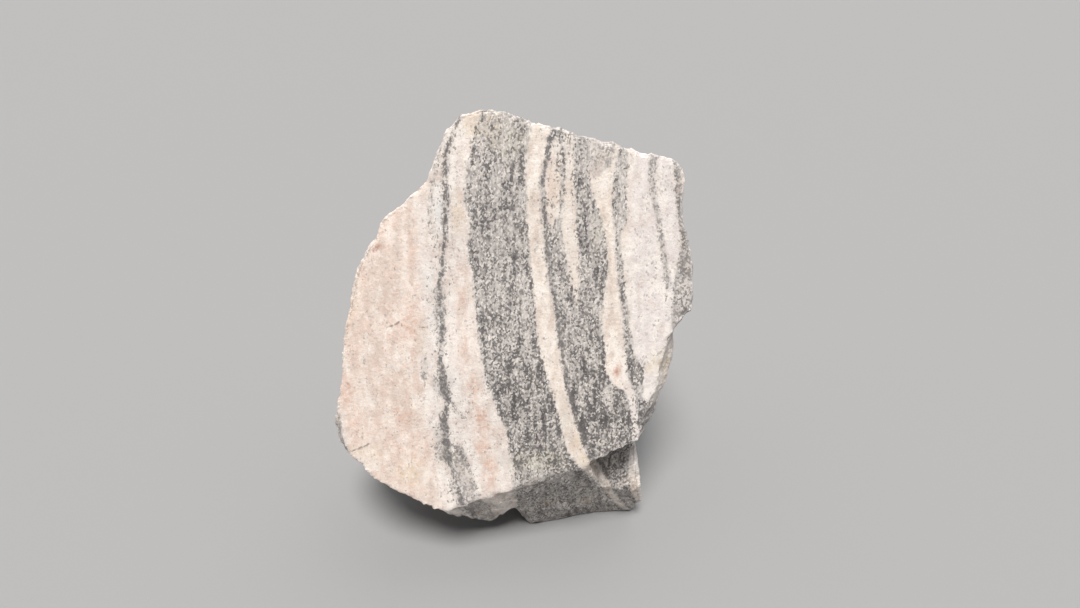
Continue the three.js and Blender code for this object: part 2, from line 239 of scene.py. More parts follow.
# Pale stripes and lenses inside the salt-and-pepper layers.
PALE = [
    [(150, 17.2, 17.2), (157, 16, 17.6), (165, 13.4, 17.6), (170, 13, 18),
     (180, 11, 17), (190, 10, 16.5), (200, 11, 15.6), (215, 11, 15), (232, 11, 14.4)],
    [(188, 5, 5), (195, 3, 8.6), (205, 2.7, 9), (215, 3, 9.2), (222, 4.8, 9.6),
     (229, 7, 7.4)],
    [(82, 46.6, 46.6), (86, 44.4, 49.2), (90, 44.6, 48.2), (95, 44, 46.6), (103, 43, 45.8),
     (110, 41, 45.4), (117, 41.5, 41.5)],
]

# Side branches of the first film: from (across, up) to (across, up), half width.
BRANCHES = [
    (-44, 109, -40, 101, 0.7), (-40, 101, -36, 97, 0.6),
    (-45, 84, -39, 79, 0.6), (-39, 79, -36, 72, 0.8),
]

# Hairline cracks, in the same form.
CRACKS = [
    (-93.6, 79, -86, 82, 0), (-86, 82, -81.5, 84.3, 0),
    (-71, 142.3, -67, 143.7, 0), (-67, 143.7, -65, 145.2, 0), (-65, 145.2, -63.8, 142.8, 0),
    (-56.8, 142.8, -52.4, 141.8, 0),
    (60.8, 125.3, 58.3, 119.6, 0), (58.3, 119.6, 59, 116, 0), (59, 116, 57.6, 111.5, 0),
    (57.6, 111.5, 55.4, 107.5, 0), (55.4, 107.5, 55.8, 102, 0),
    (48.3, 89.5, 51.4, 93, 0),
]

# Soft patches: (across, up, half width, half height, strength). The first seven kinds
# tint the pale minerals, and of these the shade patches are painted shade. Murk has
# more dark grains and darker ones, and a veil has fewer.
PEACH = [
    (-55, 175, 7, 6, 0.4), (-60, 155, 9, 7, 0.45), (-60.7, 143, 6, 5, 0.65),
    (-92, 111, 3.5, 9, 0.8), (-66, 97, 5, 4, 0.6), (-68, 118, 9, 8, 0.3),
    (-85, 92, 8, 6, 0.4), (-36, 156, 2.4, 14, 0.4), (-35.5, 134, 2.4, 12, 0.45),
    (-32, 111, 3, 9, 0.75), (-28, 95, 3.4, 8, 1.0), (-28, 81, 3, 7, 0.9),
    (-24.5, 69, 3, 7, 0.9), (7, 199, 2.5, 3, 0.6), (5, 210, 3, 12, 0.4),
    (36, 122, 2.2, 2.4, 0.9), (63.5, 208, 2.5, 5, 0.5), (-95, 150, 3, 6, 0.4),
    (-60, 78, 12, 8, 0.35), (-5, 60, 6, 3, 0.3),
]
TAN = [
    (12, 97, 3, 12, 0.4), (-64, 67, 6, 7, 0.75), (-85, 80, 7, 4, 0.6),
    (-37, 195, 2.4, 8, 0.7), (-29, 234, 5, 6, 0.75), (-21, 234, 4, 8, 0.5),
    (-88, 152, 5, 10, 0.35), (18, 84, 3, 5, 0.5), (22, 76, 3, 4, 0.6),
    (56, 122, 6, 4, 1.0), (59, 112, 3, 14, 0.9), (56, 100, 3, 10, 0.6),
    (8, 206, 3, 8, 0.3),
]
GREEN = [
    (-3, 74, 14, 6, 0.8), (55, 126, 6, 3, 0.5), (-55, 136, 3, 6, 0.3),
    (26, 186, 3, 8, 0.5), (-12, 228, 10, 6, 0.5), (-45, 74, 5, 4, 0.5),
]
COOL = [
    (-45, 198, 2.4, 12, 0.8), (-98, 85, 4, 14, 0.9), (-17, 76, 3, 5, 0.7),
    (-41, 116, 3, 5, 0.6), (-51, 158, 3, 18, 0.6), (51.5, 95, 3, 4, 0.8),
    (66, 155, 5, 10, 0.4), (10, 223, 8, 9, 0.35), (12, 98, 3, 13, 0.55),
]
MILK = [
    (53.7, 114, 4, 8, 1.0), (-39.5, 126, 3, 8, 0.8), (-39.4, 104, 3.6, 7, 0.9),
    (-40, 88, 4, 6, 1.0), (-34, 70, 4, 4, 0.9), (-52, 140, 3.4, 9, 0.7),
    (-53, 126, 3.4, 8, 0.8), (-52.5, 175, 3, 22, 0.6), (-51, 100, 4, 12, 0.5),
]
# Painted shade on facets and dents of the broad face.
PAINTED_SHADE = [
    (-82, 164, 11, 20, 0.9), (-85, 128, 8, 26, 0.6), (-76, 176, 4, 7, 0.6),
    (-73, 108, 7, 12, 0.4), (-70.5, 166, 3, 14, 1.0), (-65, 117, 8, 4, 0.8),
    (-88, 86, 8, 7, 0.4), (-62, 58, 9, 4, 0.4),
]
RUST = [
    (-73.5, 180.4, 3, 1.4, 0.9), (36, 122, 1.8, 2.2, 0.7), (-68.2, 163.6, 0.9, 1, 0.7),
    (-69.3, 148.5, 0.8, 1.4, 0.6), (58.6, 114, 1.6, 8, 0.5),
]
MURK = [
    (32, 94, 18, 13, 1.2), (-6, 104, 16, 30, 0.85), (12, 108, 12, 20, 0.6),
    (28, 117, 13, 17, 0.9), (-20, 150, 8, 30, 0.3), (20, 78, 16, 8, 0.7),
    (9, 223, 8, 8, 1.0), (50, 101, 3, 6, 1.0), (66, 185, 3, 8, 1.4),
    (67, 171, 4, 5, 1.0), (64.5, 157, 4.5, 5, 1.0), (67.5, 148, 3.4, 4, 1.6),
    (62.5, 199, 2, 10, 1.2), (60.4, 211, 3, 7, 0.8),
]
VEIL = [
    (35.5, 205, 4, 28, 0.65), (5, 222, 4, 12, 0.15), (25, 208, 8, 22, 0.5),
    (-19, 182, 1.6, 20, 0.5), (-8, 150, 3, 40, 0.3), (-8, 195, 3, 20, 0.35),
    (-14, 231, 11, 7, 0.5), (17, 229, 12, 6, 0.4), (6, 180, 4, 14, 0.35),
    (43, 111, 3.4, 4, 0.5), (36, 112, 4, 5, 0.6), (-3, 64, 18, 2.4, 0.7),
    (26.5, 190, 2.4, 8, 0.5), (0, 66, 12, 4, 0.3), (31, 74, 8, 3, 0.3),
    (34.6, 186, 3.6, 9, 1.35),
]


# ---------------------------------------------------------------------------
# How far inside a streak, a line or a patch each point lies.

# A side leans no more than this where a streak runs on past its rows.
MOST_LEAN_BELOW = 0.6
MOST_LEAN_ABOVE = 0.4
# A point that is inside no line counts as this far outside, in millimetres.
FAR_OUTSIDE = -9.0
# How a patch fades away from its middle.
PATCH_POWER = 1.5
PATCH_FADE = 0.7


def lean_of(rows, column, first, second, most):
    """How far a side moves across for each millimetre up, between two rows."""
    run = rows[second, column] - rows[first, column]
    return np.clip(run / (rows[second, 0] - rows[first, 0]), -most, most)


def inside_by(streak, across, up):
    """How far inside a streak each point lies, in millimetres. Outside it is negative."""
    rows = np.array(streak, float)
    below = up - rows[0, 0]
    above = up - rows[-1, 0]
    open_below = rows[0, 1] < rows[0, 2]
    open_above = rows[-1, 1] < rows[-1, 2]
    sides = []
    for column in (1, 2):
        side = np.interp(up, rows[:, 0], rows[:, column])
        if open_below:
            side += lean_of(rows, column, 0, 1, MOST_LEAN_BELOW) * np.minimum(below, 0)
        if open_above:
            side += lean_of(rows, column, -2, -1, MOST_LEAN_ABOVE) * np.maximum(above, 0)
        sides.append(side)
    inside = np.minimum(across - sides[0], sides[1] - across)
    if not open_below:
        inside = np.minimum(inside, below)
    if not open_above:
        inside = np.minimum(inside, -above)
    return inside


def inside_any(streaks, across, up):
    """How far inside the nearest of some streaks each point lies."""
    return np.max([inside_by(streak, across, up) for streak in streaks], axis=0)


def inside_lines(lines, across, up):
    """How far inside the nearest of some thick lines each point lies."""
    best = np.full(len(across), FAR_OUTSIDE)
    for a0, b0, a1, b1, half in lines:
        run = np.array([a1 - a0, b1 - b0])
        share = ((across - a0) * run[0] + (up - b0) * run[1]) / (run @ run)
        share = np.clip(share, 0, 1)
        gap = np.hypot(across - a0 - share * run[0], up - b0 - share * run[1])
        best = np.maximum(best, half - gap)
    return best


def patches(spots, across, up):
    """The strength of the strongest patch at each point."""
    total = np.zeros(len(across))
    for a, b, wide, high, strength in spots:
        r2 = ((across - a) / wide) ** 2 + ((up - b) / high) ** 2
        total = np.maximum(total, strength * np.exp(-(r2**PATCH_POWER) * PATCH_FADE))
    return total


def noise_places(points, size, shift):
    """Where points lie in the noise, when its forms are to be about as long as size."""
    return (points / np.asarray(size, float) + shift).tolist()


def waves(points, size, shift):
    """Smooth noise from -1 to 1 with waves about as long as size."""
    return np.array([noise.noise(p) for p in noise_places(points, size, shift)])


def rise(x, start, end):
    """From 0 at start to 1 at end, softly. The end may be the lower one."""
    t = np.clip((x - start) / (end - start), 0, 1)
    return t * t * (3 - 2 * t)


# ---------------------------------------------------------------------------
# The stone's fine mesh. Its grid is in metres.
WELD = 1e-6
SOFT_EDGE = math.radians(16)
HARD_EDGE = math.radians(38)
SUBDIVISIONS = 2
FINE_GRID = 0.0012

# Where the relief has turned a face over: how far its corners may disagree, and how
# often and how widely they are evened out.
FOLD_LIMIT = 0.35
FOLD_ROUNDS = 10
FOLD_SPREAD = 2
FOLD_REACH = 3
TINY = 1e-12


def evaluated_mesh(thing):
    """Swaps a thing's mesh for the one that its modifiers make of it."""
    graph = bpy.context.evaluated_depsgraph_get()
    mesh = bpy.data.meshes.new_from_object(thing.evaluated_get(graph))
    thing.modifiers.clear()
    old = thing.data
    thing.data = mesh
    bpy.data.meshes.remove(old)


def make_fine_stone(cad):
    """The stone's solid, rounded between its breaks and cut into an even net."""
    work = bmesh.new()
    work.from_mesh(cad.data)
    bmesh.ops.remove_doubles(work, verts=work.verts, dist=WELD)
    crease = work.edges.layers.float.new("crease_edge")
    for edge in work.edges:
        if len(edge.link_faces) == 2:
            bend = edge.calc_face_angle(0)
            share = (bend - SOFT_EDGE) / (HARD_EDGE - SOFT_EDGE)
            edge[crease] = min(1, max(0, share))
    mesh = bpy.data.meshes.new("gneiss_stone")
    work.to_mesh(mesh)
    work.free()
    stone = bpy.data.objects.new("gneiss_stone", mesh)
    bpy.context.scene.collection.objects.link(stone)
    rounding = stone.modifiers.new("rounding", "SUBSURF")
    rounding.levels = SUBDIVISIONS
    rounding.use_creases = True
    net = stone.modifiers.new("net", "REMESH")
    net.mode = "VOXEL"
    net.voxel_size = FINE_GRID
    evaluated_mesh(stone)
    return stone


def coordinates(mesh):
    """The points of a mesh, in millimetres."""
    flat = np.empty(len(mesh.vertices) * 3)
    mesh.vertices.foreach_get("co", flat)
    return flat.reshape(-1, 3) / MM


def normals(mesh):
    """Which way the surface faces at each point."""
    flat = np.empty(len(mesh.vertices) * 3)
    mesh.vertices.foreach_get("normal", flat)
    return flat.reshape(-1, 3)


class Neighbours:
    """Averages over the points that share an edge."""

    def __init__(self, mesh):
        flat = np.empty(len(mesh.edges) * 2, np.int64)
        mesh.edges.foreach_get("vertices", flat)
        pairs = flat.reshape(-1, 2)
        self.ends = np.concatenate([pairs[:, 0], pairs[:, 1]])
        self.others = np.concatenate([pairs[:, 1], pairs[:, 0]])
        self.count = np.bincount(self.ends, minlength=len(mesh.vertices))

    def mean(self, values):
        """For each point, the mean over its neighbours."""
        if values.ndim == 1:
            total = np.bincount(self.ends, values[self.others], len(self.count))
            return total / self.count
        columns = [self.mean(values[:, i]) for i in range(values.shape[1])]
        return np.stack(columns, 1)

    def soften(self, values, rounds):
        """Moves each value halfway to that mean, again and again."""
        for _ in range(rounds):
            values = (values + self.mean(values)) / 2
        return values


def quads_of(mesh):
    """The four points of each face of the net."""
    corners = np.empty(len(mesh.loops), np.int64)
    mesh.loops.foreach_get("vertex_index", corners)
    return corners.reshape(-1, 4)


def unit(vectors):
    """The same directions, each of length one."""
    return vectors / (np.linalg.norm(vectors, axis=1)[:, None] + TINY)


def ease_folds(points, quads, ring):
    """Evens out the few spots where the relief has turned a face over."""
    owner = quads.ravel()
    for _ in range(FOLD_ROUNDS):
        corners = points[quads]
        ahead = np.roll(corners, -1, axis=1) - corners
        behind = np.roll(corners, 1, axis=1) - corners
        facing = unit(np.cross(ahead, behind).reshape(-1, 3))
        mean = [np.bincount(owner, facing[:, i], len(points)) for i in range(3)]
        mean = unit(np.stack(mean, 1))
        agreement = np.einsum("ij,ij->i", facing, mean[owner])
        worst = np.ones(len(points))
        np.minimum.at(worst, owner, agreement)
        folded = ring.soften((worst < FOLD_LIMIT).astype(float), FOLD_SPREAD)
        share = np.clip(folded * FOLD_REACH, 0, 1)[:, None]
        points = points + share * (ring.mean(points) - points)
    return points


# ---------------------------------------------------------------------------
# The relief, in millimetres. Each kind has its height, the size of its forms across,
# up and in depth, and its shift in the noise.
FACE_WAVES = [
    (0.22, (16, 26, 16), 1.7),
    (0.16, (5, 8, 6), 5.2),
    (0.12, (2.6, 3.6, 3), 9.9),
]
BREAKS = [
    (1.15, (11, 18, 15), 2.3),
    (0.85, (5, 8, 7), 6.1),
    (0.6, (2.4, 3.6, 3.2), 8.8),
]
BREAK_WAVES = (0.2, (2.6, 3.4, 3), 4.4)

# Small flats: how freely each one leans and steps, and how steep its border is. The
# leans come from seeded noise, so they are the same each time.
LEAN_SEED = 24
LEAN_SPREAD = 3.7
LEAN = 1.5
STEP_SPREAD = 5.1
STEP = 0.6
BORDER_STEEPNESS = 7

# Ribs, where a side cuts straight across the layers.
LAYER_OUT = np.array(
    [1, -LAYER_DIP * math.cos(FACE_LEAN), LAYER_DIP * math.sin(FACE_LEAN)]
)
LAYER_OUT /= np.linalg.norm(LAYER_OUT)
RIB_DEPTH = 0.5
RIB_SIZE = (3.4, 40, 30)
RIB_SHIFT = 7.7
RIB_WIDTH = 0.25
CUT_ACROSS = (0.45, 0.85)

# Chips along a sharp rim: depth, size, shift, and the noise between which a chip goes
# from none to full. Some stretches of the rim and the pink end have fewer of them.
CHIPS = [(1.4, 9, 11.3, 0.0, 0.45), (0.5, 3.7, 21.9, -0.1, 0.5)]
CHIP_STRETCHES = (31, 5.7, -0.25, 0.2)
FEWEST_CHIPS = 0.25
PINK_END = (-60, -35)
PINK_CHIPS = 0.4
RIM_WEAR = 0.12
# Where the rim of the broad face is chipped the most, as patches.
CHIPPED_RIM = [(58, 112, 12, 28, 1.5), (66, 150, 8, 12, 0.6)]

# A point is on the broad face if it faces that way and lies in the stone's skin.
FACE_OUT = np.array([0, -math.cos(FACE_LEAN), math.sin(FACE_LEAN)])
FACING_OUT = (0.8, 0.96)
IN_SKIN = (9, 4)
FACING_ROUNDS = 6
# The relief fades out towards the foot, which is flat.
NEAR_FOOT = (0.3, 5)
FOOT_HEIGHT = 0.35
# How far the net bulges where an edge is blunt and where it is sharp.
BULGE = (0.03, 0.12)
BULGE_ROUNDS = 5
# The whole relief is sunk a little into the solid, and goes no further than this.
SUNK_BY = 0.12
MOST_SUNK = 2.2
MOST_RAISED = 0.8

# Behind the broad face the layers bend gently. Below the ledge they are also pushed
# to the right, between these two heights, and they drift up with depth.
BEND_DEPTH = (2, 30)
BENDS = [(3.5, (70, 60, 45), 3.1), (1.2, (20, 25, 18), 8.4)]
LEDGE_PUSH = 4.5
LEDGE_UP = (95, 60)
UP_DRIFT = 0.3


def broken_flats(points, size, shift):
    """Small flats that each lean their own way, as rock breaks between its grains."""
    height = np.empty(len(points))
    for i, p in enumerate(noise_places(points, size, shift)):
        near, centres = noise.voronoi(p)
        centre = centres[0]
        tilt = noise.noise_vector(centre * LEAN_SPREAD)
        border = min(1, (near[1] - near[0]) * BORDER_STEEPNESS)
        away = Vector(p) - centre
        step = STEP * noise.noise(centre * STEP_SPREAD)
        height[i] = (tilt.dot(away) * LEAN + step) * border
    return height


def layers_of(points):
    """Across-the-layers position, up and depth. It bends a little inside the stone."""
    across, up, depth = on_face(points)
    inner = rise(depth, *BEND_DEPTH)
    folded = across - LAYER_DIP * depth
    place = np.stack([across, up, depth], 1)
    for height, size, shift in BENDS:
        folded += inner * height * waves(place, size, shift)
    folded += inner * LEDGE_PUSH * rise(up, *LEDGE_UP)
    return folded, up + UP_DRIFT * inner * depth, depth


def chip_depth(points, layer, across, up):
    """How deep the chips in a sharp rim are."""
    chips = np.zeros(len(points))
    for deep, size, shift, low, high in CHIPS:
        chips += rise(waves(points, size, shift), low, high) * deep
    size, shift, low, high = CHIP_STRETCHES
    stretches = rise(waves(points, size, shift), low, high)
    chips *= FEWEST_CHIPS + (1 - FEWEST_CHIPS) * stretches
    by_layer = PINK_CHIPS + (1 - PINK_CHIPS) * rise(layer, *PINK_END)
    return chips * (by_layer + patches(CHIPPED_RIM, across, up))


def place_points(mesh, points):
    """Moves the net's points to where they are given in millimetres."""
    mesh.vertices.foreach_set("co", (points * MM).ravel())
    mesh.update()


def weather(stone):
    """Gives the net the relief of a broken, handled stone."""
    noise.seed_set(LEAN_SEED)
    mesh = stone.data
    ring = Neighbours(mesh)
    points = ring.soften(coordinates(mesh), 1)
    place_points(mesh, points)
    outward = normals(mesh)
    across, up, depth = on_face(points)
    layer, _, _ = layers_of(points)
    place = np.stack([layer, up, depth], 1)

    steady = ring.soften(outward, FACING_ROUNDS)
    steady /= np.linalg.norm(steady, axis=1)[:, None]
    on_broad = rise(steady @ FACE_OUT, *FACING_OUT) * rise(depth, *IN_SKIN)
    above_foot = rise(points[:, 2], *NEAR_FOOT)
    rough = (1 - on_broad) * above_foot
    bulge = -np.einsum("ij,ij->i", ring.mean(points) - points, outward)
    edge = rise(ring.soften(bulge, BULGE_ROUNDS), *BULGE)

    lift = np.zeros(len(points))
    for height, size, shift in FACE_WAVES:
        lift += on_broad * height * waves(place, size, shift)
    for height, size, shift in BREAKS:
        lift += rough * height * broken_flats(place, size, shift)
    height, size, shift = BREAK_WAVES
    lift += rough * height * waves(place, size, shift)
    cut_across = rise(1 - (steady @ LAYER_OUT) ** 2, *CUT_ACROSS)
    ribs = np.abs(waves(place, RIB_SIZE, RIB_SHIFT))
    lift -= rough * cut_across * RIB_DEPTH * (1 - rise(ribs, 0, RIB_WIDTH))
    lift -= edge * above_foot * (RIM_WEAR + chip_depth(points, layer, across, up))
    lift = np.clip(lift - SUNK_BY, -MOST_SUNK, MOST_RAISED) * above_foot
    points = ease_folds(points + outward * lift[:, None], quads_of(mesh), ring)

    low = np.array(CAD_BOX[0]) / MM
    high = np.array(CAD_BOX[1]) / MM
    points = np.clip(points, low, high)
    points[points[:, 2] < FOOT_HEIGHT, 2] = 0
    place_points(mesh, points)
    for polygon in mesh.polygons:
        polygon.use_smooth = True
    store(mesh, "edge", edge)
    store(mesh, "rough", rough)
    return points, ring


def store(mesh, name, values):
    """Keeps a number or a vector for each point of the mesh."""
    kind = "FLOAT" if values.ndim == 1 else "FLOAT_VECTOR"
    attribute = mesh.attributes.new(name, kind, "POINT")
    field = "value" if values.ndim == 1 else "vector"
    attribute.data.foreach_set(field, values.astype(np.float32).ravel())


# ---------------------------------------------------------------------------
# Which rock each point lies in. The patches, branches and cracks are on the broad
# face only, and fade out between these depths.
PATCH_DEPTH = (20, 6)
PATCH_KINDS = {
    "peach": PEACH, "tan": TAN, "green": GREEN, "cool": COOL, "milk": MILK,
    "shade": PAINTED_SHADE, "rust": RUST, "murk": MURK, "veil": VEIL,
}
# How far the patches stray across and up: distance, size and shift in the noise.
STRAY_ACROSS = (1.4, (5, 12, 9), 2.2)
STRAY_UP = (4.5, (9, 10, 9), 6.6)
# Inside the stone the salt-and-pepper layers are thicker, and the lines are gone.
INNER_SPREAD = 0.9
INNER_LOSS = 4
MOST_INSIDE = 8
# The pale rock is pink at the left, cream in the middle and lilac at the right.
PINK_ENDS = (-60, -46)
CREAM_BEGINS = (-10, -4)
CREAM_ENDS = (36, 46)
LILAC_BEGINS = (36, 44)
# Rock that faces the ground, which gets painted shade, rock at the back, and rock
# in a hollow, which gets painted shade and dirt.
FACING_DOWN = (0.2, 0.6)
DOWN_ROUNDS = 8
BEHIND_DEPTH = (5, 18)
HOLLOW_DEPTH = (0.02, 0.3)
HOLLOW_ROUNDS = 3


def mark_layers(stone, points, ring):
    """Keeps on each point of the net which rock it lies in."""
    mesh = stone.data
    layer, up, depth = layers_of(points)
    near = rise(depth, *PATCH_DEPTH)
    place = np.stack([layer, up, depth], 1)
    strayed = [
        base + far * waves(place, size, shift)
        for base, (far, size, shift) in ((layer, STRAY_ACROSS), (up, STRAY_UP))
    ]
    loss = INNER_LOSS * (1 - near)
    branches = inside_lines(BRANCHES, layer, up) - loss
    for name, inside in (
        ("in_pepper", inside_any(PEPPER, layer, up) + INNER_SPREAD * (1 - near)),
        ("in_biotite", np.maximum(inside_any(BIOTITE, layer, up), branches)),
        ("in_grey", inside_any(GREY, layer, up)),
        ("in_pale", inside_any(PALE, layer, up)),
        ("in_crack", inside_lines(CRACKS, layer, up) - loss),
    ):
        store(mesh, name, np.clip(inside, -MOST_INSIDE, MOST_INSIDE))
    store(mesh, "pink", 1 - rise(layer, *PINK_ENDS))
    store(mesh, "cream", rise(layer, *CREAM_BEGINS) * (1 - rise(layer, *CREAM_ENDS)))
    store(mesh, "lilac", rise(layer, *LILAC_BEGINS))
    facing_down = -ring.soften(normals(mesh), DOWN_ROUNDS)[:, 2]
    # Rock that faces the ground is marked for painted shade, a darker blue grey.
    store(mesh, "underside_shade", rise(facing_down, *FACING_DOWN))
    store(mesh, "behind", rise(depth, *BEHIND_DEPTH))
    for name, spots in PATCH_KINDS.items():
        store(mesh, name, patches(spots, *strayed) * near)
    # Hollows are marked for painted shade and dirt, a darker brown.
    sunk = ring.soften(points, HOLLOW_ROUNDS) - points
    hollow_shade_and_dirt = np.einsum("ij,ij->i", sunk, normals(mesh))
    store(mesh, "hollow_shade_and_dirt", rise(ring.soften(hollow_shade_and_dirt, 1), *HOLLOW_DEPTH))
    store(mesh, "grain", place)


# ---------------------------------------------------------------------------
# The rock's material. Its noise fields: stretch (across, up, depth), scale and detail.
FIELDS = {
    "ragged": ((1, 1, 1), 0.42, 3.0),
    "frayed": ((1, 0.3, 0.4), 0.8, 2.0),
    "breaks": ((0.1, 0.16, 0.2), 1.0, 1.0),
    "wisp": ((1, 0.45, 0.6), 0.3, 3.0),
    "streaks": ((0.45, 0.06, 0.09), 1.0, 2.0),
    "clouds": ((1, 0.6, 0.7), 0.13, 2.0),
    "mottle": ((1, 0.36, 0.5), 0.27, 4.0),
    "drift": ((1, 0.6, 0.6), 0.1, 2.0),
    "sugar": ((1, 1, 1), 1.5, 4.0),
    "patina": ((1, 1, 1), 0.07, 4.0),
    "bumps": ((1, 1, 1), 0.6, 3.0),
    "hackle": ((1, 0.55, 0.65), 0.26, 5.0),
    "steps": ((1, 0.5, 0.7), 0.14, 3.0),
}
# The middle of every field.
MIDDLE = 0.5

# The mineral grains are cells, a little longer along the layers, with bent borders.
GRAIN_SHAPE = (1, 0.74, 0.8)
GRAIN_BEND = (1.1, 1.0)
GRAIN_WOBBLE = 0.6
GRAIN_CELLS = 1.42
CLUMP_CELLS = 0.5
CRYSTAL_CELLS = 0.36
# Whether a grain is dark is mostly its own pick and partly that of its clump.
OWN_PICK = 0.8
CLUMP_PICK = 0.2
PALE_GRAIN = (-0.18, 0.26)


class Nodes:
    """Short calls for the shader nodes that the rock is made of."""

    def __init__(self, material):
        self.tree = material.node_tree
        self.nodes = self.tree.nodes
        self.place = self.attribute("grain", "Vector")

    def wire(self, socket, value):
        if isinstance(value, bpy.types.NodeSocket):
            self.tree.links.new(value, socket)
        else:
            socket.default_value = value

    def attribute(self, name, output="Fac"):
        node = self.nodes.new("ShaderNodeAttribute")
        node.attribute_name = name
        return node.outputs[output]

    def math(self, operation, a, b=0.0, clamp=False):
        node = self.nodes.new("ShaderNodeMath")
        node.operation = operation
        node.use_clamp = clamp
        self.wire(node.inputs[0], a)
        self.wire(node.inputs[1], b)
        return node.outputs[0]

    def add(self, a, b):
        return self.math("ADD", a, b)

    def minus(self, a, b, clamp=False):
        return self.math("SUBTRACT", a, b, clamp)

    def times(self, a, b):
        return self.math("MULTIPLY", a, b)

    def more(self, a, b):
        return self.math("MAXIMUM", a, b)

    def total(self, *shares):
        """The sum of some values, each times its factor."""
        result, *rest = [self.times(value, factor) for value, factor in shares]
        for part in rest:
            result = self.add(result, part)
        return result

    def stretch(self, vector, factors):
        node = self.nodes.new("ShaderNodeVectorMath")
        node.operation = "MULTIPLY"
        self.wire(node.inputs[0], vector)
        node.inputs[1].default_value = factors
        return node.outputs[0]

    def shifted(self, vector, by, amount):
        scaled = self.nodes.new("ShaderNodeVectorMath")
        scaled.operation = "MULTIPLY_ADD"
        self.wire(scaled.inputs[0], by)
        scaled.inputs[1].default_value = (amount,) * 3
        self.wire(scaled.inputs[2], vector)
        return scaled.outputs[0]

    def noise(self, vector, scale, detail, output="Fac"):
        node = self.nodes.new("ShaderNodeTexNoise")
        self.wire(node.inputs["Vector"], vector)
        node.inputs["Scale"].default_value = scale
        node.inputs["Detail"].default_value = detail
        return node.outputs[output]

    def field(self, name):
        """One of the noise fields, from 0 to 1."""
        factors, scale, detail = FIELDS[name]
        return self.noise(self.stretch(self.place, factors), scale, detail)

    def swing(self, name):
        """One of the noise fields, about zero."""
        return self.minus(self.field(name), MIDDLE)

    def ridge(self, name):
        """How far one of the noise fields is from its middle."""
        return self.math("ABSOLUTE", self.swing(name))

    def cells(self, vector, scale, output="Color"):
        node = self.nodes.new("ShaderNodeTexVoronoi")
        self.wire(node.inputs["Vector"], vector)
        node.inputs["Scale"].default_value = scale
        return node.outputs[output]

    def part(self, colour, channel):
        node = self.nodes.new("ShaderNodeSeparateColor")
        self.wire(node.inputs[0], colour)
        return node.outputs[channel]

    def rise(self, value, low, high, to_low=0.0, to_high=1.0):
        """From to_low at low to to_high at high, softly."""
        node = self.nodes.new("ShaderNodeMapRange")
        node.interpolation_type = "SMOOTHSTEP"
        self.wire(node.inputs["Value"], value)
        node.inputs["From Min"].default_value = low
        node.inputs["From Max"].default_value = high
        node.inputs["To Min"].default_value = to_low
        node.inputs["To Max"].default_value = to_high
        return node.outputs["Result"]

    def blend(self, share, a, b):
        """From a to b, for numbers."""
        node = self.nodes.new("ShaderNodeMix")
        node.data_type = "FLOAT"
        self.wire(node.inputs[0], share)
        self.wire(node.inputs[2], a)
        self.wire(node.inputs[3], b)
        return node.outputs[0]

    def mix(self, share, a, b):
        """From a to b, for colours."""
        node = self.nodes.new("ShaderNodeMix")
        node.data_type = "RGBA"
        self.wire(node.inputs[0], share)
        self.wire(node.inputs[6], a)
        self.wire(node.inputs[7], b)
        return node.outputs[2]

    def ramp(self, value, stops):
        node = self.nodes.new("ShaderNodeValToRGB")
        self.wire(node.inputs[0], value)
        elements = node.color_ramp.elements
        elements[0].position, elements[0].color = stops[0]
        elements[1].position, elements[1].color = stops[-1]
        for place, colour in stops[1:-1]:
            elements.new(place).color = colour
        return node.outputs["Color"]


def paint(red, green, blue):
    """A colour as the eye names it, 0 to 255, as the light that it gives back."""
    linear = [
        (c / 255 / 12.92) if c <= 10 else ((c / 255 + 0.055) / 1.055) ** 2.4
        for c in (red, green, blue)
    ]
    return (*linear, 1)


# The pale rock between the layers, and how it changes from left to right.
PLAIN = paint(224, 213, 205)
CREAM_ROCK = paint(228, 216, 204)
LILAC_ROCK = paint(223, 216, 213)
PINK_ROCK = paint(226, 203, 189)
GREY_ROCK = paint(170, 166, 164)
FILM_SIDE = paint(220, 215, 211)
BROWN_SKIN = paint(196, 172, 144)
# How strongly the grey scatterings and the sides of the film wash it, where the pink
# shows, and how the back's brown skin comes and goes.
WASH = 0.8
BESIDE_WASH = 0.45
BLUSH_RAGGED = 0.5
BLUSH = (-0.4, 0.15)
PATINA = (0.5, 0.72, 0, 0.42)

# The dark grains, from the darkest to the palest.
DARK_GRAINS = [
    (0.0, paint(76, 74, 75)),
    (0.35, paint(104, 100, 99)),
    (0.55, paint(128, 123, 120)),
    (0.8, paint(150, 144, 140)),
]
SHADE_SPREAD = 0.3
# In a thin scattering they are paler, but not where the rock is already this dark.
THIN_GRAIN = paint(142, 137, 133)
THIN_UP_TO = 0.75
# Patches tint them: the most of it and its colour.
DARK_TINTS = [
    ("murk", 0.4, paint(72, 68, 66)),
    ("green", 0.22, paint(112, 108, 82)),
]

# The pale grains of a salt-and-pepper layer.
PEPPER_GRAINS = [
    (0.0, paint(158, 153, 150)),
    (0.45, paint(186, 181, 176)),
    (1.0, paint(222, 216, 210)),
]

# The rock's mean tone by its share of dark grains. It is laid thinly over the grains.
MEAN_TONE = [
    (0.1, paint(206, 200, 195)),
    (0.45, paint(172, 166, 162)),
    (0.8, paint(112, 108, 106)),
]
TONE_IN_PEPPER = 0.12
TONE_IN_BIOTITE = 0.3
TONE_IN_GREY = 0.25

# A hairline crack: its fray, where it begins and is full, the most of it, its colour.
CRACK_FRAY = 0.9
CRACK_SHARE = (-0.7, -0.1, 0, 0.75)
CRACK = paint(118, 104, 96)

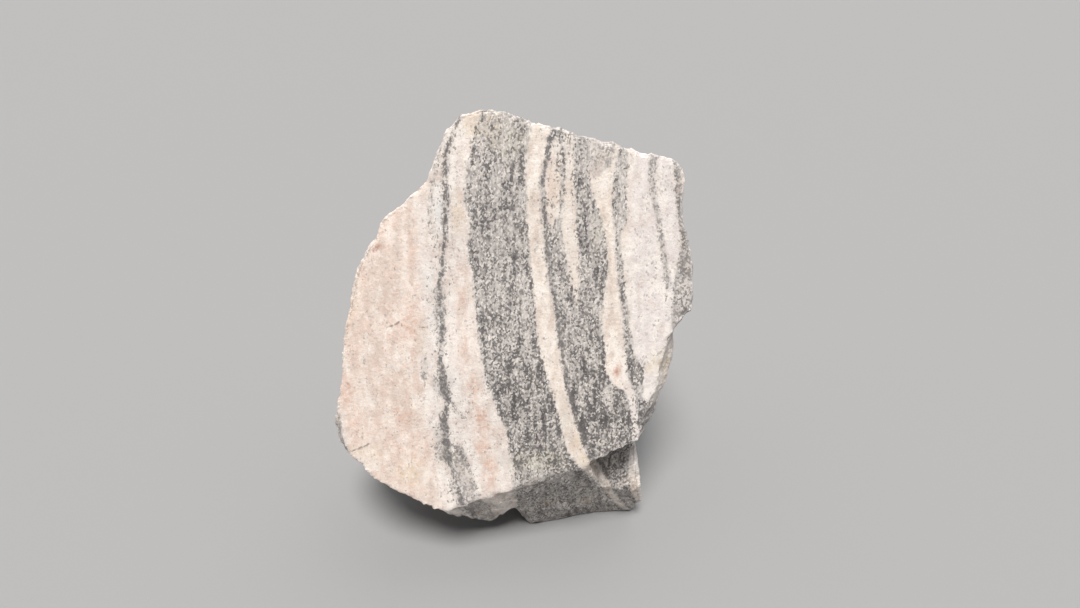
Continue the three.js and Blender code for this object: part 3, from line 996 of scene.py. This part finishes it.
# Soft variation of the pale rock: its field, whether it is weaker in the lilac rock,
# the field's range from none to full, the most of it, and its colour.
VARIATION = [
    ("mottle", True, 0.53, 0.35, 0.56, paint(198, 180, 170)),
    ("mottle", False, 0.5, 0.64, 0.66, paint(238, 231, 223)),
    ("drift", True, 0.52, 0.32, 0.5, paint(204, 186, 174)),
    ("drift", False, 0.5, 0.66, 0.5, paint(236, 228, 220)),
    ("crystal", False, 0.5, 1.0, 0.35, paint(234, 226, 218)),
    ("crystal", False, 0.4, 0.0, 0.3, paint(200, 186, 175)),
    ("sugar", False, 0.54, 0.34, 0.2, paint(184, 170, 160)),
    ("sugar", False, 0.52, 0.68, 0.24, paint(240, 235, 229)),
]
WEAKER_IN_LILAC = 0.65

# Stains of the pale minerals, and painted shade: the patches, the most of it and its
# colour.
STAINS = [
    ("peach", 0.62, paint(206, 165, 144)),
    ("tan", 0.65, paint(208, 186, 152)),
    ("green", 0.4, paint(184, 180, 150)),
    ("cool", 0.6, paint(202, 204, 204)),
    ("milk", 0.6, paint(230, 224, 219)),
    # Painted shade on the broad face.
    ("shade", 0.5, paint(204, 184, 170)),
    ("rust", 0.8, paint(164, 122, 104)),
]
# Their borders are frayed, too.
STAIN_FRAY = 0.8
STAIN_SHARE = (-0.2, 0.25, 0.25, 1.4)

# What lies over all the minerals, where it is told by one share: the most of it and
# its colour. Edges are worn pale, hollows get painted shade and dirt, and rock that
# faces the ground gets painted shade, a darker blue grey.
COVERINGS = [
    ("edge", 0.22, paint(238, 231, 224)),
    # Painted shade and dirt in hollows.
    ("hollow_shade_and_dirt", 0.45, paint(118, 102, 90)),
    # Painted shade on rock that faces the ground.
    ("underside_shade", 0.55, paint(66, 70, 82)),
]

# How much the fray moves a layer's border, and where the layer begins and is full.
RAGGED_FRAY = 3.4
FINE_FRAY = 2.6
BORDERS = {
    "in_pepper": (0.75, -0.9, 0.9),
    "in_pale": (0.8, -0.9, 0.8),
    "in_grey": (0.6, -1.1, 0.8),
}
# The film of biotite is broken as well as frayed. A grey halo lies along it, and dark
# wisps lie beside it.
FILM_FRAY = 0.55
FILM_BREAKS = 2.7
FILM = (-0.7, 0.6)
FILM_HALO = (-1.9, -0.4, 0, 0.6)
BESIDE_FILM = (-7.5, -3.5)

# The share of dark grains in each rock, and what changes it.
DARK_IN_PEPPER = 0.45
DARK_IN_PEPPER_RIM = 0.04
PEPPER_RIM = 1.6
PEPPER_RIM_WIDTH = 2.2
DARK_IN_GREY = 0.4
DARK_IN_PALE = 0.08
DARK_IN_BIOTITE = 0.78
DARK_IN_WISP = 0.26
WISP_WIDTH = 0.035
SPECKS = (-0.05, 0.2, 0.0, 0.06)
FEWER_IN_PINK = 0.6
# How fully a pale lens or a film covers the rock that it lies in.
COVER = 0.9
DARK_IN_MURK = 0.16
FEWER_IN_VEIL = 0.6
FEWER_AT_EDGE = 0.3
FEWER_IN_MILK = 0.4
STREAK_SWING = 1.1
CLOUD_SWING = 0.9
SWING_IN_PEPPER = 0.9
SWING_ELSEWHERE = 0.1

# The small relief of the surface, in the bump's own unit. It is stronger on the
# breaks than on the broad face.
BUMP_STRENGTH = 0.7
BUMP_DISTANCE = 0.0004
GRAIN_HEIGHT = 0.3
BUMP_HEIGHT = 1.5
DOME_HEIGHT = -0.3
PALE_HEIGHT = 0.12
ROUGHER = 1.6
ON_BROAD_FACE = 0.6
HACKLE_HEIGHT = 5.0
STEP_HEIGHT = 10.0
BROKEN = (0.5, 1.0)
UNWORN = (0.5, 0.0)
# The polish of a grain.
SMOOTHEST = 0.36
ROUGHEST = 0.8


class Gneiss:
    """Builds the rock's shader, from the layers' borders to the last grain."""

    def __init__(self, material):
        self.n = Nodes(material)
        self.ragged = self.n.swing("ragged")
        self.frayed = self.n.swing("frayed")
        self.clouds = self.n.swing("clouds")
        self.edge = self.n.attribute("edge")
        self.find_rocks()
        self.find_dark_share()
        self.find_grains()

    def bordered(self, name):
        """The share of a rock inside its frayed border."""
        fray, begins, full = BORDERS[name]
        n = self.n
        return n.rise(n.add(n.attribute(name), n.times(self.fray, fray)), begins, full)

    def find_rocks(self):
        """Ragged borders between the layers."""
        n = self.n
        self.fray = n.total((self.ragged, RAGGED_FRAY), (self.frayed, FINE_FRAY))
        self.in_pepper = self.bordered("in_pepper")
        self.in_pale = self.bordered("in_pale")
        loose = n.total((self.fray, FILM_FRAY), (n.swing("breaks"), FILM_BREAKS))
        film = n.add(n.attribute("in_biotite"), loose)
        self.in_biotite = n.rise(film, *FILM)
        self.in_grey = n.more(self.bordered("in_grey"), n.rise(film, *FILM_HALO))
        beside = n.rise(n.attribute("in_biotite"), *BESIDE_FILM)
        self.beside = n.times(beside, n.minus(1.0, n.attribute("cream")))

    def find_dark_share(self):
        """How many of the grains are dark at each place."""
        n = self.n
        in_pink = n.add(n.times(n.attribute("pink"), -FEWER_IN_PINK), 1.0)
        specks = n.times(n.rise(self.clouds, *SPECKS), in_pink)
        wisp = n.rise(n.ridge("wisp"), WISP_WIDTH, 0.0)
        specks = n.add(specks, n.times(n.times(wisp, self.beside), DARK_IN_WISP))
        dark = n.blend(self.in_grey, specks, DARK_IN_GREY)
        rim = n.math("ABSOLUTE", n.add(n.attribute("in_pepper"), -PEPPER_RIM))
        rim = n.times(n.rise(rim, PEPPER_RIM_WIDTH, 0.0), DARK_IN_PEPPER_RIM)
        dark = n.blend(self.in_pepper, dark, n.add(rim, DARK_IN_PEPPER))
        dark = n.blend(n.times(self.in_pale, COVER), dark, DARK_IN_PALE)
        fewer = n.total(
            (n.attribute("veil"), FEWER_IN_VEIL),
            (self.edge, FEWER_AT_EDGE),
            (n.attribute("milk"), FEWER_IN_MILK),
        )
        dark = n.times(dark, n.minus(1.0, fewer))
        murk = n.times(n.attribute("murk"), n.more(self.in_pepper, self.in_grey))
        dark = n.add(dark, n.times(murk, DARK_IN_MURK))
        swing = n.total((n.swing("streaks"), STREAK_SWING), (self.clouds, CLOUD_SWING))
        width = n.add(n.times(self.in_pepper, SWING_IN_PEPPER), SWING_ELSEWHERE)
        dark = n.add(dark, n.times(swing, width))
        self.dark = n.blend(n.times(self.in_biotite, COVER), dark, DARK_IN_BIOTITE)

    def find_grains(self):
        """The grains themselves: one value for each grain says how dark it is."""
        n = self.n
        bent = n.noise(n.place, *GRAIN_BEND, "Color")
        self.wobbly = n.shifted(n.stretch(n.place, GRAIN_SHAPE), bent, GRAIN_WOBBLE)
        self.grain = n.cells(self.wobbly, GRAIN_CELLS)
        clump = n.cells(self.wobbly, CLUMP_CELLS)
        own, shared = n.part(self.grain, 0), n.part(clump, 0)
        pick = n.total((own, OWN_PICK), (shared, CLUMP_PICK))
        self.over = n.minus(pick, self.dark)
        self.is_pale = n.rise(self.over, *PALE_GRAIN)
        self.shade = n.part(self.grain, 1)

    def tinted(self, colour, tints):
        """A colour after some tints, each with its attribute and the most of it."""
        n = self.n
        for name, most, tint in tints:
            colour = n.mix(n.times(n.attribute(name), most), colour, tint)
        return colour

    def dark_grains(self):
        """The colour of the dark minerals."""
        n = self.n
        tone = n.add(n.add(self.over, n.times(self.shade, SHADE_SPREAD)), MIDDLE)
        colour = n.ramp(tone, DARK_GRAINS)
        thick = n.add(self.in_pepper, self.in_biotite)
        thin = n.times(self.in_grey, n.minus(THIN_UP_TO, thick, True))
        return self.tinted(n.mix(thin, colour, THIN_GRAIN), DARK_TINTS)

    def pale_grains(self):
        """The colour of the pale minerals, with their stains."""
        n = self.n
        pale = n.mix(n.attribute("cream"), PLAIN, CREAM_ROCK)
        pale = n.mix(n.attribute("lilac"), pale, LILAC_ROCK)
        wash = n.times(self.in_grey, n.minus(WASH, n.times(self.in_pepper, WASH)))
        pale = n.mix(wash, pale, GREY_ROCK)
        blush = n.add(self.clouds, n.times(self.ragged, BLUSH_RAGGED))
        blush = n.rise(blush, *BLUSH)
        pale = n.mix(n.times(n.attribute("pink"), blush), pale, PINK_ROCK)
        pale = n.mix(n.times(self.beside, BESIDE_WASH), pale, FILM_SIDE)

        fields = {name: n.field(name) for name in ("mottle", "drift", "sugar")}
        fields["crystal"] = n.part(n.cells(self.wobbly, CRYSTAL_CELLS), 1)
        warm = n.minus(1.0, n.times(n.attribute("lilac"), WEAKER_IN_LILAC))
        for name, weaker, low, high, most, colour in VARIATION:
            share = n.rise(fields[name], low, high, 0, most)
            pale = n.mix(n.times(warm, share) if weaker else share, pale, colour)

        of_pepper = n.times(self.in_pepper, n.minus(COVER, self.in_pale, True))
        pale = n.mix(of_pepper, pale, n.ramp(self.shade, PEPPER_GRAINS))
        uneven = n.add(self.ragged, n.times(self.frayed, STAIN_FRAY))
        uneven = n.rise(uneven, *STAIN_SHARE)
        for name, most, stain in STAINS:
            share = n.times(n.times(n.attribute(name), uneven), most)
            pale = n.mix(share, pale, stain)
        patina = n.rise(n.field("patina"), *PATINA)
        return n.mix(n.times(n.attribute("behind"), patina), pale, BROWN_SKIN)

    def colour(self):
        """The colour of the whole rock, with its cracks, wear, dirt and painted shade."""
        n = self.n
        colour = n.mix(self.is_pale, self.dark_grains(), self.pale_grains())
        blurred = n.total(
            (self.in_pepper, TONE_IN_PEPPER),
            (self.in_biotite, TONE_IN_BIOTITE),
            (self.in_grey, TONE_IN_GREY),
        )
        colour = n.mix(blurred, colour, n.ramp(self.dark, MEAN_TONE))
        uneven = n.times(n.add(self.frayed, self.ragged), CRACK_FRAY)
        crack = n.rise(n.add(n.attribute("in_crack"), uneven), *CRACK_SHARE)
        colour = n.mix(crack, colour, CRACK)
        return self.tinted(colour, COVERINGS)

    def roughness(self):
        """Each grain has its own polish."""
        return self.n.rise(self.n.part(self.grain, 2), 0.0, 1.0, SMOOTHEST, ROUGHEST)

    def height(self):
        """Fine grain everywhere, and hackly steps where the rock is broken."""
        n = self.n
        height = n.total(
            (n.part(self.grain, 2), GRAIN_HEIGHT),
            (n.field("bumps"), BUMP_HEIGHT),
            (n.cells(self.wobbly, GRAIN_CELLS, "Distance"), DOME_HEIGHT),
            (self.is_pale, PALE_HEIGHT),
        )
        rough = n.attribute("rough")
        height = n.times(height, n.add(n.times(rough, ROUGHER), ON_BROAD_FACE))
        hackle = n.total(
            (n.field("hackle"), HACKLE_HEIGHT), (n.ridge("steps"), STEP_HEIGHT)
        )
        broken = n.times(n.rise(rough, *BROKEN), n.rise(self.edge, *UNWORN))
        return n.add(height, n.times(broken, hackle))


def make_gneiss():
    material = bpy.data.materials.new("gneiss")
    material.use_nodes = True
    gneiss = Gneiss(material)
    n = gneiss.n
    bump = n.nodes.new("ShaderNodeBump")
    bump.inputs["Strength"].default_value = BUMP_STRENGTH
    bump.inputs["Distance"].default_value = BUMP_DISTANCE
    n.wire(bump.inputs["Height"], gneiss.height())
    shader = n.nodes["Principled BSDF"]
    n.wire(shader.inputs["Base Color"], gneiss.colour())
    n.wire(shader.inputs["Roughness"], gneiss.roughness())
    n.wire(shader.inputs["Normal"], bump.outputs["Normal"])
    return material


# ---------------------------------------------------------------------------
make_camera()
make_studio()
stone = make_fine_stone(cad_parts[SPECIMEN])
stone_points, stone_ring = weather(stone)
mark_layers(stone, stone_points, stone_ring)
stone.data.materials.clear()
stone.data.materials.append(make_gneiss())
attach(stone, "root")
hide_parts(SPECIMEN)
